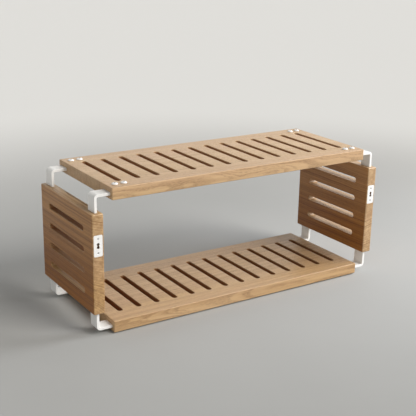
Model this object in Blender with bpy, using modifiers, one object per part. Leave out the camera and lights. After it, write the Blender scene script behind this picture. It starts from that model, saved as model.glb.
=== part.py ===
"""Entryway bench: two slatted oak boards, a seat and a shelf, held by bent steel straps to two slatted side boards.

No board touches another. Each corner has one gap along the bench and one up it, and only the straps cross them.
Frame: X along the bench, Y from front to back, Z up. The origin is on the floor under the middle of the bench.
All lengths are in metres.
"""

import math

import bmesh
import bpy
from mathutils import Matrix

# Boards
OVERALL_LENGTH = 1.000
OVERALL_HEIGHT = 0.420
BOARD_DEPTH = 0.345
BOARD_THICKNESS = 0.034
LEVEL_BOARD_LENGTH = 0.880
CORNER_RISE = 0.031
LEVEL_BOARD_ROUNDING = 0.0025
SIDE_BOARD_ROUNDING = 0.004
ROUNDING_SEGMENTS = 2

# Slots
SLOT_WIDTH = 0.0165
SLOT_LENGTH = 0.234
SLOT_PITCH = 0.060
LEVEL_SLOT_COUNT = 14
SIDE_SLOT_COUNT = 4
SLOT_END_SEGMENTS = 6

# Straps: flat steel bar, bent once
STRAP_WIDTH = 0.040
STRAP_THICKNESS = 0.008
STRAP_OUTER_BEND = 0.012
STRAP_BEND_SEGMENTS = 6
STRAP_EDGE_ROUNDING = 0.0008
STRAP_OFFSET = 0.141
STRAP_DROP = 0.002
TONGUE_REACH = 0.068
LEG_REACH = 0.050

# Bolts through the tongues
BOLT_FROM_END = 0.0235
BOLT_SPACING = 0.0272
HEAD_RADIUS = 0.009
HEAD_HEIGHT = 0.0046
SHANK_RADIUS = 0.004
SHANK_PAST_TONGUE = 0.003
SOCKET_RADIUS = 0.0029
SOCKET_DEPTH = 0.0028
COUNTERBORE_DEPTH = 0.0055
COUNTERBORE_MARGIN = 0.001
ROUND_STEPS = 16
GLIDE_STEPS = 24

# Keyhole plates in the front edges of the side boards
PLATE_WIDTH = 0.0265
PLATE_HEIGHT = 0.061
PLATE_THICKNESS = 0.003
PLATE_CORNER = 0.004
PLATE_RISE = 0.198
KEYHOLE_RADIUS = 0.0042
KEYHOLE_SPACING = 0.0086
KEYHOLE_NECK = 0.0054
POCKET_WIDTH = 0.014
POCKET_HEIGHT = 0.026
POCKET_DEPTH = 0.010
PLATE_SCREW_SPACING = 0.0402
SCREW_HEAD_RADIUS = 0.0032
SCREW_HEAD_DEPTH = 0.0018
SCREW_RADIUS = 0.0015
SCREW_LENGTH = 0.016
SCREW_STEPS = 12

# Glides under the shelf
GLIDE_RADIUS = 0.012
GLIDE_THICKNESS = 0.003
GLIDE_X = 0.4175
GLIDE_Y = 0.107

# Clearances
GAP = 0.0003
OVERCUT = 0.002

# Places worked out from the sizes above
SHELF_BOTTOM = GLIDE_THICKNESS + GAP
SHELF_MIDDLE = SHELF_BOTTOM + BOARD_THICKNESS / 2
SEAT_MIDDLE = OVERALL_HEIGHT - BOARD_THICKNESS / 2
SIDE_BOTTOM = SHELF_BOTTOM + BOARD_THICKNESS + CORNER_RISE
SIDE_TOP = OVERALL_HEIGHT - BOARD_THICKNESS - CORNER_RISE
SIDE_HEIGHT = SIDE_TOP - SIDE_BOTTOM
SIDE_MIDDLE_X = (OVERALL_LENGTH - BOARD_THICKNESS) / 2
FRONT = -BOARD_DEPTH / 2
PLATE_MIDDLE_Z = SIDE_BOTTOM + PLATE_RISE
SEAT_STRAP_PLANE = SEAT_MIDDLE - STRAP_DROP
SHELF_STRAP_PLANE = SHELF_MIDDLE - STRAP_DROP
TONGUE_LENGTH = SIDE_MIDDLE_X + STRAP_THICKNESS / 2 - LEVEL_BOARD_LENGTH / 2 + TONGUE_REACH
ENDS = {"left": -1, "right": 1}
FACES = {"front": -1, "back": 1}
BOLT_PLACES = {
    "outer": LEVEL_BOARD_LENGTH / 2 - BOLT_FROM_END,
    "inner": LEVEL_BOARD_LENGTH / 2 - BOLT_FROM_END - BOLT_SPACING,
}


def clear_scene():
    for obj in list(bpy.data.objects):
        bpy.data.objects.remove(obj, do_unlink=True)


def new_collection(name):
    collection = bpy.data.collections.new(name)
    bpy.context.scene.collection.children.link(collection)
    return collection


def new_material(name, colour, roughness, metallic=0.0):
    material = bpy.data.materials.new(name)
    material.use_nodes = True
    shader = material.node_tree.nodes["Principled BSDF"]
    shader.inputs["Base Color"].default_value = (*colour, 1.0)
    shader.inputs["Roughness"].default_value = roughness
    shader.inputs["Metallic"].default_value = metallic
    material.diffuse_color = (*colour, 1.0)
    return material


clear_scene()
BENCH = new_collection("entryway_bench")
CUTTERS = new_collection("cutters")
OAK = new_material("oak", (0.58, 0.40, 0.24), 0.55)
WHITE_STEEL = new_material("white_powder_coated_steel", (0.86, 0.85, 0.83), 0.4)
WHITE_SCREW = new_material("white_fastener_steel", (0.82, 0.81, 0.79), 0.3)
NYLON = new_material("clear_nylon", (0.30, 0.28, 0.26), 0.5)


# ---------------------------------------------------------------- shapes


def add_object(name, mesh, collection, material=None):
    obj = bpy.data.objects.new(name, mesh)
    collection.objects.link(obj)
    if material:
        mesh.materials.append(material)
    return obj


def hide_cutter(obj):
    obj.hide_render = True
    obj.display_type = "WIRE"
    return obj


def block_mesh(name, size):
    """A box centred on its own origin."""
    mesh = bpy.data.meshes.new(name)
    work = bmesh.new()
    bmesh.ops.create_cube(work, size=1.0, matrix=Matrix.Diagonal((*size, 1.0)))
    work.to_mesh(mesh)
    work.free()
    return mesh


def cylinder_mesh(name, radius, length, steps):
    """A cylinder along Z, centred on its own origin."""
    mesh = bpy.data.meshes.new(name)
    work = bmesh.new()
    bmesh.ops.create_cone(
        work, cap_ends=True, segments=steps, radius1=radius, radius2=radius, depth=length
    )
    work.to_mesh(mesh)
    work.free()
    return mesh


def arc(centre, radius, start, end, segments):
    """Points on an arc from start to end, in degrees, with both ends."""
    points = []
    for step in range(segments + 1):
        angle = math.radians(start + (end - start) * step / segments)
        points.append((centre[0] + radius * math.cos(angle), centre[1] + radius * math.sin(angle)))
    return points


def slot_outline(length, width, segments):
    """A slot along X with half-round ends."""
    reach = length / 2 - width / 2
    right_end = arc((reach, 0), width / 2, -90, 90, segments)
    left_end = arc((-reach, 0), width / 2, 90, 270, segments)
    return right_end + left_end


def rounded_rectangle(width, height, radius, segments):
    across = width / 2 - radius
    up = height / 2 - radius
    corners = ((across, up, 0), (-across, up, 90), (-across, -up, 180), (across, -up, 270))
    points = []
    for x, y, start in corners:
        points += arc((x, y), radius, start, start + 90, segments)
    return points


def outline_mesh(name, outline, thickness):
    """The flat outline filled and thickened evenly to both sides of its plane, as a closed mesh."""
    curve = bpy.data.curves.new(name, "CURVE")
    curve.dimensions = "2D"
    curve.fill_mode = "BOTH"
    curve.extrude = thickness / 2
    spline = curve.splines.new("POLY")
    spline.points.add(len(outline) - 1)
    for point, (x, y) in zip(spline.points, outline):
        point.co = (x, y, 0, 1)
    spline.use_cyclic_u = True
    holder = bpy.data.objects.new(name, curve)
    CUTTERS.objects.link(holder)
    graph = bpy.context.evaluated_depsgraph_get()
    mesh = bpy.data.meshes.new_from_object(holder.evaluated_get(graph))
    mesh.name = name
    bpy.data.objects.remove(holder, do_unlink=True)
    bpy.data.curves.remove(curve)
    work = bmesh.new()
    work.from_mesh(mesh)
    bmesh.ops.remove_doubles(work, verts=work.verts, dist=1e-6)
    bmesh.ops.recalc_face_normals(work, faces=work.faces)
    work.to_mesh(mesh)
    work.free()
    return mesh


def turned_object(name, profile, steps, collection, material):
    """A solid turned around its own Z from (radius, height) points that run from the top down."""
    mesh = bpy.data.meshes.new(name)
    edges = [(index, index + 1) for index in range(len(profile) - 1)]
    mesh.from_pydata([(radius, 0, height) for radius, height in profile], edges, [])
    obj = add_object(name, mesh, collection, material)
    screw = obj.modifiers.new("turn", "SCREW")
    screw.axis = "Z"
    screw.steps = steps
    screw.render_steps = steps
    screw.use_merge_vertices = True
    screw.merge_threshold = 0.00001
    return obj


def round_edges(obj, width, segments):
    bevel = obj.modifiers.new("rounded edges", "BEVEL")
    bevel.width = width
    bevel.segments = segments
    bevel.limit_method = "ANGLE"
    bevel.angle_limit = math.radians(50)


def cut(obj, cutters):
    for cutter in cutters:
        boolean = obj.modifiers.new(cutter.name, "BOOLEAN")
        boolean.operation = "DIFFERENCE"
        boolean.solver = "EXACT"
        boolean.object = cutter


def place(obj, location, turn=None):
    """Puts the object at its place, turned about its own origin when a rotation is given."""
    obj.matrix_world = Matrix.Translation(location) @ (turn or Matrix.Identity(4))
    return obj


def turned_about(axis, degrees):
    return Matrix.Rotation(math.radians(degrees), 4, axis)


# ---------------------------------------------------------------- cutters


def slot_row(name, count, step, spin):
    """Cutters for a row of slots: one closed prism each, all in one mesh, along the board's own X."""
    prism = outline_mesh(
        name, slot_outline(SLOT_LENGTH, SLOT_WIDTH, SLOT_END_SEGMENTS), BOARD_THICKNESS + 2 * OVERCUT
    )
    work = bmesh.new()
    for index in range(count):
        before = len(work.verts)
        work.from_mesh(prism)
        work.verts.ensure_lookup_table()
        along = (index - (count - 1) / 2) * step
        shift = Matrix.Translation((along, 0, 0)) @ spin
        bmesh.ops.transform(work, matrix=shift, verts=work.verts[before:])
    row = bpy.data.meshes.new(name)
    work.to_mesh(row)
    work.free()
    bpy.data.meshes.remove(prism)
    return hide_cutter(add_object(name, row, CUTTERS))


def mortise(name, reach, location, upright):
    """The slot in a board's end that takes a strap, with a gap all round it."""
    length = reach + GAP + OVERCUT
    across = STRAP_THICKNESS + 2 * GAP
    wide = STRAP_WIDTH + 2 * GAP
    size = (across, wide, length) if upright else (length, wide, across)
    return place(hide_cutter(add_object(name, block_mesh(name, size), CUTTERS)), location)


def round_hole(name, radius, bottom, top, x, y):
    mesh = cylinder_mesh(name, radius, top - bottom, ROUND_STEPS)
    return place(hide_cutter(add_object(name, mesh, CUTTERS)), (x, y, (bottom + top) / 2))


# ---------------------------------------------------------------- boards


def level_board_cutters(name, middle, facing):
    """Strap mortises and bolt holes. The bolts come from above when facing is 1, from below when it is -1."""
    cutters = []
    strap_plane = middle - STRAP_DROP
    head_side = middle + facing * (BOARD_THICKNESS / 2 + OVERCUT)
    blind_end = strap_plane - facing * (STRAP_THICKNESS / 2 + SHANK_PAST_TONGUE + 2 * GAP)
    recess_floor = middle + facing * (BOARD_THICKNESS / 2 - COUNTERBORE_DEPTH)
    mortise_middle = (LEVEL_BOARD_LENGTH - TONGUE_REACH - GAP + OVERCUT) / 2
    for end, x_sign in ENDS.items():
        for face, y_sign in FACES.items():
            y = y_sign * STRAP_OFFSET
            label = f"{name}_{end}_{face}"
            place_of_mortise = (x_sign * mortise_middle, y, strap_plane)
            cutters.append(mortise(f"{label}_mortise", TONGUE_REACH, place_of_mortise, False))
            for which, along in BOLT_PLACES.items():
                low, high = sorted((head_side, blind_end))
                hole = f"{label}_{which}_hole"
                cutters.append(
                    round_hole(hole, SHANK_RADIUS + GAP, low, high, x_sign * along, y)
                )
                if facing < 0:
                    low, high = sorted((head_side, recess_floor))
                    radius = HEAD_RADIUS + COUNTERBORE_MARGIN
                    recess = f"{label}_{which}_counterbore"
                    cutters.append(round_hole(recess, radius, low, high, x_sign * along, y))
    return cutters


def level_board(name, middle, facing):
    """A slatted board that lies flat: the seat, or the shelf under it."""
    mesh = block_mesh(name, (LEVEL_BOARD_LENGTH, BOARD_DEPTH, BOARD_THICKNESS))
    board = place(add_object(name, mesh, BENCH, OAK), (0, 0, middle))
    round_edges(board, LEVEL_BOARD_ROUNDING, ROUNDING_SEGMENTS)
    slots = slot_row(f"{name}_slots", LEVEL_SLOT_COUNT, SLOT_PITCH, turned_about("Z", 90))
    place(slots, (0, 0, middle))
    cut(board, [slots] + level_board_cutters(name, middle, facing))
    return board


def side_board_cutters(name, x):
    """Strap mortises in the top and bottom edges, and the recess and pocket of the keyhole plate."""
    cutters = []
    mortise_shift = (LEG_REACH + GAP - OVERCUT) / 2
    for face, y_sign in FACES.items():
        y = y_sign * STRAP_OFFSET
        top = (x, y, SIDE_TOP - mortise_shift)
        bottom = (x, y, SIDE_BOTTOM + mortise_shift)
        cutters.append(mortise(f"{name}_{face}_top_mortise", LEG_REACH, top, True))
        cutters.append(mortise(f"{name}_{face}_bottom_mortise", LEG_REACH, bottom, True))
    upright = turned_about("X", 90)
    recess_outline = rounded_rectangle(
        PLATE_WIDTH + 2 * GAP, PLATE_HEIGHT + 2 * GAP, PLATE_CORNER + GAP, 4
    )
    recess_depth = PLATE_THICKNESS + 2 * GAP
    recess_mesh = outline_mesh(f"{name}_plate_recess", recess_outline, 2 * recess_depth)
    recess = hide_cutter(add_object(f"{name}_plate_recess", recess_mesh, CUTTERS))
    place(recess, (x, FRONT, PLATE_MIDDLE_Z), upright)
    cutters.append(recess)
    pocket_outline = rounded_rectangle(POCKET_WIDTH, POCKET_HEIGHT, POCKET_WIDTH / 2 - GAP, 4)
    pocket_mesh = outline_mesh(
        f"{name}_keyhole_pocket", pocket_outline, 2 * (recess_depth + POCKET_DEPTH)
    )
    pocket = hide_cutter(add_object(f"{name}_keyhole_pocket", pocket_mesh, CUTTERS))
    cutters.append(place(pocket, (x, FRONT, PLATE_MIDDLE_Z), upright))
    for label, z_sign in {"upper": 1, "lower": -1}.items():
        hole_name = f"{name}_{label}_screw_hole"
        depth = SCREW_LENGTH + 2 * GAP + OVERCUT
        mesh = cylinder_mesh(hole_name, SCREW_RADIUS + GAP, 2 * depth, SCREW_STEPS)
        hole = hide_cutter(add_object(hole_name, mesh, CUTTERS))
        z = PLATE_MIDDLE_Z + z_sign * PLATE_SCREW_SPACING / 2
        cutters.append(place(hole, (x, FRONT, z), upright))
    return cutters


def side_board(name, x):
    """A slatted board that stands on edge between the seat's and the shelf's straps."""
    mesh = block_mesh(name, (BOARD_THICKNESS, BOARD_DEPTH, SIDE_HEIGHT))
    middle = (x, 0, (SIDE_TOP + SIDE_BOTTOM) / 2)
    board = place(add_object(name, mesh, BENCH, OAK), middle)
    round_edges(board, SIDE_BOARD_ROUNDING, ROUNDING_SEGMENTS)
    slots = slot_row(f"{name}_slots", SIDE_SLOT_COUNT, SLOT_PITCH, turned_about("Z", 90))
    place(slots, middle, turned_about("Y", 90))
    cut(board, [slots] + side_board_cutters(name, x))
    return board


# ---------------------------------------------------------------- straps


def strap_outline(leg_length):
    """The bent bar seen from the front, with its outer corner at the origin, its tongue along +X and its leg down."""
    inner_bend = STRAP_OUTER_BEND - STRAP_THICKNESS
    centre = (STRAP_OUTER_BEND, -STRAP_OUTER_BEND)
    outer_curve = arc(centre, STRAP_OUTER_BEND, 180, 90, STRAP_BEND_SEGMENTS)
    inner_curve = arc(centre, inner_bend, 90, 180, STRAP_BEND_SEGMENTS)
    tongue_end = [(TONGUE_LENGTH, 0), (TONGUE_LENGTH, -STRAP_THICKNESS)]
    leg_end = [(STRAP_THICKNESS, -leg_length), (0, -leg_length)]
    return outer_curve + tongue_end + inner_curve + leg_end


def strap(name, x_sign, y_sign, plane, board_edge):
    """A bent strap: its tongue lies in a level board at height plane, its leg goes in at a side board's edge."""
    leg_down = board_edge < plane
    leg_length = abs(plane - board_edge) + STRAP_THICKNESS / 2 + LEG_REACH
    mesh = outline_mesh(name, strap_outline(leg_length), STRAP_WIDTH)
    obj = add_object(name, mesh, BENCH, WHITE_STEEL)
    turn = turned_about("X", 90)
    if not leg_down:
        turn = turned_about("X", 180) @ turn
    if x_sign > 0:
        turn = turned_about("Z", 180) @ turn
    corner_x = x_sign * (SIDE_MIDDLE_X + STRAP_THICKNESS / 2)
    corner_z = plane + (STRAP_THICKNESS / 2 if leg_down else -STRAP_THICKNESS / 2)
    place(obj, (corner_x, y_sign * STRAP_OFFSET, corner_z), turn)
    round_edges(obj, STRAP_EDGE_ROUNDING, 1)
    holes = []
    for which, along in BOLT_PLACES.items():
        holes.append(
            round_hole(
                f"{name}_{which}_hole",
                SHANK_RADIUS + GAP,
                plane - STRAP_THICKNESS,
                plane + STRAP_THICKNESS,
                x_sign * along,
                y_sign * STRAP_OFFSET,
            )
        )
    cut(obj, holes)
    return obj


# ---------------------------------------------------------------- fasteners and fittings


def bolt_profile(shank_length):
    """The bolt from its domed head down. Its origin is where the underside of the head meets the work."""
    dome = []
    for degrees in (90, 62, 38, 16):
        angle = math.radians(degrees)
        dome.append((HEAD_RADIUS * math.cos(angle), HEAD_HEIGHT * math.sin(angle)))
    dome[0] = (0, HEAD_HEIGHT)
    return dome + [
        (HEAD_RADIUS, 0),
        (SHANK_RADIUS, 0),
        (SHANK_RADIUS, -shank_length),
        (0, -shank_length),
    ]


def bolt(name, location, shank_length, facing):
    turn = turned_about("X", 0 if facing > 0 else 180)
    obj = turned_object(name, bolt_profile(shank_length), ROUND_STEPS, BENCH, WHITE_SCREW)
    place(obj, location, turn)
    socket_mesh = cylinder_mesh(f"{name}_socket", SOCKET_RADIUS, 2 * SOCKET_DEPTH, 6)
    socket = hide_cutter(add_object(f"{name}_socket", socket_mesh, CUTTERS))
    x, y, z = location
    place(socket, (x, y, z + facing * HEAD_HEIGHT), turn)
    cut(obj, [socket])
    obj.data.shade_smooth()
    return obj


def bolts(board, middle, facing, recess):
    """Two bolts through each strap's tongue. The undersides of their heads lie recess below the board's face."""
    head_z = middle + facing * (BOARD_THICKNESS / 2 - recess + GAP)
    tip_z = middle - STRAP_DROP - facing * (STRAP_THICKNESS / 2 + SHANK_PAST_TONGUE)
    for end, x_sign in ENDS.items():
        for face, y_sign in FACES.items():
            for which, along in BOLT_PLACES.items():
                location = (x_sign * along, y_sign * STRAP_OFFSET, head_z)
                bolt(f"{board}_bolt_{end}_{face}_{which}", location, abs(head_z - tip_z), facing)


def keyhole_outline():
    """A figure eight that stands along the plate's own Y: two round holes joined by a narrower neck."""
    half = KEYHOLE_SPACING / 2
    neck_angle = math.degrees(math.asin(KEYHOLE_NECK / 2 / KEYHOLE_RADIUS))
    upper = arc((0, half), KEYHOLE_RADIUS, neck_angle - 90, 270 - neck_angle, 12)
    lower = arc((0, -half), KEYHOLE_RADIUS, neck_angle + 90, 450 - neck_angle, 12)
    return upper + lower


def screw_profile():
    """A countersunk screw, from its flat head down. Its origin is in the middle of the head's face."""
    return [
        (0, 0),
        (SCREW_HEAD_RADIUS, 0),
        (SCREW_RADIUS, -SCREW_HEAD_DEPTH),
        (SCREW_RADIUS, -SCREW_LENGTH + 2 * SCREW_RADIUS),
        (0, -SCREW_LENGTH),
    ]


def keyhole_plate(name, x):
    """The white plate let into a side board's front edge."""
    upright = turned_about("X", 90)
    outline = rounded_rectangle(PLATE_WIDTH, PLATE_HEIGHT, PLATE_CORNER, 4)
    plate = add_object(name, outline_mesh(name, outline, PLATE_THICKNESS), BENCH, WHITE_STEEL)
    place(plate, (x, FRONT + PLATE_THICKNESS / 2 + GAP, PLATE_MIDDLE_Z), upright)
    opening_mesh = outline_mesh(f"{name}_keyhole", keyhole_outline(), 4 * PLATE_THICKNESS)
    opening = hide_cutter(add_object(f"{name}_keyhole", opening_mesh, CUTTERS))
    cutters = [place(opening, (x, FRONT, PLATE_MIDDLE_Z), upright)]
    face_y = FRONT + GAP
    outward = turned_about("X", 90)
    for label, z_sign in {"upper": 1, "lower": -1}.items():
        z = PLATE_MIDDLE_Z + z_sign * PLATE_SCREW_SPACING / 2
        screw_name = f"{name}_screw_{label}"
        sink = turned_object(f"{screw_name}_sink", sink_profile(), SCREW_STEPS, CUTTERS, None)
        cutters.append(hide_cutter(place(sink, (x, face_y, z), outward)))
        screw = turned_object(screw_name, screw_profile(), SCREW_STEPS, BENCH, WHITE_SCREW)
        place(screw, (x, face_y + GAP, z), outward)
        cross_mesh = cylinder_mesh(f"{screw_name}_drive", SOCKET_RADIUS / 2, 0.0012, 4)
        cross = hide_cutter(add_object(f"{screw_name}_drive", cross_mesh, CUTTERS))
        cut(screw, [place(cross, (x, face_y + GAP, z), outward)])
    cut(plate, cutters)
    return plate


def sink_profile():
    """The countersunk hole: the screw's own shape, a gap larger all round, and through the plate."""
    return [
        (0, OVERCUT),
        (SCREW_HEAD_RADIUS + 2 * GAP, OVERCUT),
        (SCREW_HEAD_RADIUS + 2 * GAP, 0),
        (SCREW_RADIUS + GAP, -SCREW_HEAD_DEPTH - GAP),
        (SCREW_RADIUS + GAP, -2 * PLATE_THICKNESS),
        (0, -2 * PLATE_THICKNESS),
    ]


def glide(name, x, y):
    """A small pad that lifts the shelf off the floor."""
    profile = [
        (0, GLIDE_THICKNESS),
        (GLIDE_RADIUS, GLIDE_THICKNESS),
        (GLIDE_RADIUS, GLIDE_THICKNESS / 3),
        (GLIDE_RADIUS - GLIDE_THICKNESS / 3, 0),
        (0, 0),
    ]
    obj = turned_object(name, profile, GLIDE_STEPS, BENCH, NYLON)
    obj.data.shade_smooth()
    return place(obj, (x, y, 0))


# ---------------------------------------------------------------- the bench


def build_bench():
    level_board("seat_board", SEAT_MIDDLE, 1)
    level_board("shelf_board", SHELF_MIDDLE, -1)
    bolts("seat", SEAT_MIDDLE, 1, 0)
    bolts("shelf", SHELF_MIDDLE, -1, COUNTERBORE_DEPTH)
    for end, x_sign in ENDS.items():
        side_board(f"{end}_side_board", x_sign * SIDE_MIDDLE_X)
        keyhole_plate(f"{end}_keyhole_plate", x_sign * SIDE_MIDDLE_X)
        for face, y_sign in FACES.items():
            strap(f"seat_strap_{end}_{face}", x_sign, y_sign, SEAT_STRAP_PLANE, SIDE_TOP)
            strap(f"shelf_strap_{end}_{face}", x_sign, y_sign, SHELF_STRAP_PLANE, SIDE_BOTTOM)
            glide(f"glide_{end}_{face}", x_sign * GLIDE_X, y_sign * GLIDE_Y)


build_bench()
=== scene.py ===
"""The entryway bench as it looks: solid oak boards and white powder-coated straps and fittings.

It stands on a pale floor in soft light. Each piece is made again, more finely than its CAD node and in the
same place. All lengths are in metres.
"""
import math

import bmesh
import bpy
from mathutils import Euler, Matrix, Vector


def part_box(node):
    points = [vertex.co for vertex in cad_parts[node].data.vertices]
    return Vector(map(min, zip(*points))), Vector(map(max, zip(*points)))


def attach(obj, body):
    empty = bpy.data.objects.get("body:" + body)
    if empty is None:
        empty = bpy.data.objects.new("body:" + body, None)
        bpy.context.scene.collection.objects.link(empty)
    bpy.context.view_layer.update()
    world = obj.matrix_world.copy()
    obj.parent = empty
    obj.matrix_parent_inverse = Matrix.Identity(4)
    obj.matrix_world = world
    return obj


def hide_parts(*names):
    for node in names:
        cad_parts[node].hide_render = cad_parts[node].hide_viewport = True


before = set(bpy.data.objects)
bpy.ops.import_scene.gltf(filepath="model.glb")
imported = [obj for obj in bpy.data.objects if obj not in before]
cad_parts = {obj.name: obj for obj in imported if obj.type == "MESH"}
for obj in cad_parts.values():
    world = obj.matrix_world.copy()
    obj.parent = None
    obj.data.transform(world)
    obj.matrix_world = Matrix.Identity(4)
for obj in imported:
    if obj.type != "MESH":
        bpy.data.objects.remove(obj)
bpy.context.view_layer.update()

SEAT_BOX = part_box("seat_board")
STRAP_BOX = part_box("seat_strap_left_back")

# Boards and their slots
BOARD_THICKNESS = SEAT_BOX[1].z - SEAT_BOX[0].z
BOARD_DEPTH = SEAT_BOX[1].y - SEAT_BOX[0].y
LEVEL_BOARD_ROUNDING = 0.0025
SIDE_BOARD_ROUNDING = 0.004
BOARD_ROUNDING_STEPS = 5
SLOT_WIDTH = 0.0165
SLOT_LENGTH = 0.234
SLOT_PITCH = 0.060
LEVEL_SLOT_COUNT = 14
SIDE_SLOT_COUNT = 4
SLOT_END_STEPS = 14
SLOT_RIM = 0.0008
EDGE_ANGLES = (90, 67.5, 45, 22.5, 0)

# The part of a board that holds slots ends this far from the board's ends and past the slots' ends
SLOT_ZONE_INSET = 0.030
SLOT_ZONE_MARGIN = 0.004

# Straps: flat steel bar, bent once
STRAP_WIDTH = STRAP_BOX[1].y - STRAP_BOX[0].y
STRAP_OFFSET = (STRAP_BOX[0].y + STRAP_BOX[1].y) / 2
STRAP_THICKNESS = 0.008
STRAP_OUTER_BEND = 0.012
STRAP_BEND_STEPS = 16
STRAP_EDGE = 0.001
STRAP_DROP = 0.002
TONGUE_REACH = 0.068
LEG_REACH = 0.050

# Bolts
HEAD_RADIUS = 0.009
HEAD_HEIGHT = 0.0046
HEAD_LIP = 0.0005
DOME_STEPS = 10
SHANK_RADIUS = 0.004
SHANK_TIP_RADIUS = SHANK_RADIUS * 0.82
SHANK_TIP_LENGTH = SHANK_RADIUS * 0.25
SOCKET_MOUTH = 0.0034
SOCKET_MOUTH_INSET = 0.00012
SOCKET_MOUTH_DEPTH = 0.00008
SOCKET_FUNNEL_DEPTH = 0.0007
SOCKET_RADIUS = 0.0029
SOCKET_DEPTH = 0.0028
SOCKET_TIP_RADIUS = SHANK_RADIUS * 0.1
SOCKET_TIP_DEPTH = 0.0006
COUNTERBORE_DEPTH = 0.0055
COUNTERBORE_MARGIN = 0.001
ROUND_STEPS = 48

# Keyhole plates
PLATE_CORNER = 0.004
PLATE_EDGE = 0.0006
CORNER_STEPS = 8
KEYHOLE_RADIUS = 0.0042
KEYHOLE_SPACING = 0.0086
KEYHOLE_NECK = 0.0054
KEYHOLE_STEPS = 28
POCKET_WIDTH = 0.014
POCKET_HEIGHT = 0.026
POCKET_DEPTH = 0.010

# Plate screws
SCREW_HEAD_RADIUS = 0.0032
SCREW_HEAD_DEPTH = 0.0018
SCREW_HEAD_LIP = 0.0002
SCREW_HEAD_EASE = 0.0001
SCREW_RADIUS = 0.0015
SCREW_TIP_RADIUS = SCREW_RADIUS * 0.15
SCREW_TIP_LENGTH = SCREW_RADIUS * 2
SCREW_HOLE_STEPS = 24
CROSS_REACH = 0.0025
CROSS_HALF_WIDTH = 0.0008
CROSS_DEPTH = 0.0013
CROSS_TAPER = 0.00018
CROSS_OVERCUT = 0.0001

# The dimple under a glide: shares of the glide's radius, and of its rounding's height
GLIDE_DIMPLE = ((0.05, 0.5), (0.22, 0.4), (0.30, 0.0))

# Clearances
GAP = 0.0003
OVERCUT = 0.002

# Edges that turn by less than this many degrees are shaded smooth
SMOOTH_ANGLE = 35
WIDE_SMOOTH_ANGLE = 50

ENDS = {"left": -1, "right": 1}
FACES = {"front": -1, "back": 1}
BOLT_LABELS = ("outer", "inner")
SCREW_LABELS = ("upper", "lower")


# ---------------------------------------------------------------- outlines


def arc(centre, radius, start, end, steps):
    """Points on an arc from start to end, in degrees, with both ends."""
    points = []
    for step in range(steps + 1):
        angle = math.radians(start + (end - start) * step / steps)
        points.append((centre[0] + radius * math.cos(angle), centre[1] + radius * math.sin(angle)))
    return points


def circle(radius, steps):
    """Points all round a circle, each one once."""
    return arc((0, 0), radius, 0, 360 * (1 - 1 / steps), steps - 1)


def slot_outline(grow):
    """A slot along X with half-round ends, drawn larger all round by grow."""
    reach = (SLOT_LENGTH - SLOT_WIDTH) / 2
    radius = SLOT_WIDTH / 2 + grow
    right_end = arc((reach, 0), radius, -90, 90, SLOT_END_STEPS)
    left_end = arc((-reach, 0), radius, 90, 270, SLOT_END_STEPS)
    return right_end + left_end


def rounded_rectangle(width, height, radius, grow=0.0):
    """A rectangle with round corners, centred on the origin and drawn larger all round by grow."""
    across = width / 2 - radius
    up = height / 2 - radius
    corners = ((across, up, 0), (-across, up, 90), (-across, -up, 180), (across, -up, 270))
    points = []
    for x, y, start in corners:
        points += arc((x, y), radius + grow, start, start + 90, CORNER_STEPS)
    return points


def keyhole_outline(grow):
    """A figure eight that stands along Y: two round holes joined by a narrower neck."""
    half = KEYHOLE_SPACING / 2
    radius = KEYHOLE_RADIUS + grow
    neck_angle = math.degrees(math.asin((KEYHOLE_NECK / 2 + grow) / radius))
    upper = arc((0, half), radius, neck_angle - 90, 270 - neck_angle, KEYHOLE_STEPS)
    lower = arc((0, -half), radius, neck_angle + 90, 450 - neck_angle, KEYHOLE_STEPS)
    return upper + lower


def cross_outline(grow):
    """A plus sign centred on the origin."""
    reach, half = CROSS_REACH + grow, CROSS_HALF_WIDTH + grow
    quarter = [(reach, -half), (reach, half), (half, half)]
    points = []
    for turn in range(4):
        angle = math.pi / 2 * turn
        cosine, sine = round(math.cos(angle)), round(math.sin(angle))
        points += [(x * cosine - y * sine, x * sine + y * cosine) for x, y in quarter]
    return points


def strap_outline(tongue, leg, inset):
    """The bent bar from the side, its outer corner at the origin, its tongue along +X and its leg down."""
    centre = (STRAP_OUTER_BEND, -STRAP_OUTER_BEND)
    inner_bend = STRAP_OUTER_BEND - STRAP_THICKNESS
    outer_curve = arc(centre, STRAP_OUTER_BEND - inset, 180, 90, STRAP_BEND_STEPS)
    inner_curve = arc(centre, inner_bend + inset, 90, 180, STRAP_BEND_STEPS)
    tongue_end = [(tongue - inset, -inset), (tongue - inset, inset - STRAP_THICKNESS)]
    leg_end = [(STRAP_THICKNESS - inset, inset - leg), (inset, inset - leg)]
    return outer_curve + tongue_end + inner_curve + leg_end


def eased_edge(radius):
    """(inset, depth) pairs down a quarter-round edge, from its outer face to its side."""
    pairs = []
    for degrees in EDGE_ANGLES:
        angle = math.radians(degrees)
        pairs.append((radius * (1 - math.cos(angle)), radius * (1 - math.sin(angle))))
    return pairs


# ---------------------------------------------------------------- solids


def add_object(name, data):
    """A new object in the scene, with that data."""
    obj = bpy.data.objects.new(name, data)
    bpy.context.scene.collection.objects.link(obj)
    return obj


def mesh_from(work, name):
    """The finished mesh of a bmesh, which is freed."""
    mesh = bpy.data.meshes.new(name)
    work.to_mesh(mesh)
    work.free()
    return mesh


def closed_mesh(name, rings):
    """A closed solid through a stack of rings, each with the same number of points."""
    work = bmesh.new()
    loops = [[work.verts.new(point) for point in ring] for ring in rings]
    count = len(rings[0])
    for lower, upper in zip(loops, loops[1:]):
        for index in range(count):
            following = (index + 1) % count
            work.faces.new((lower[index], lower[following], upper[following], upper[index]))
    work.faces.new(loops[0])
    work.faces.new(loops[-1])
    bmesh.ops.recalc_face_normals(work, faces=work.faces)
    return mesh_from(work, name)


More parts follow.
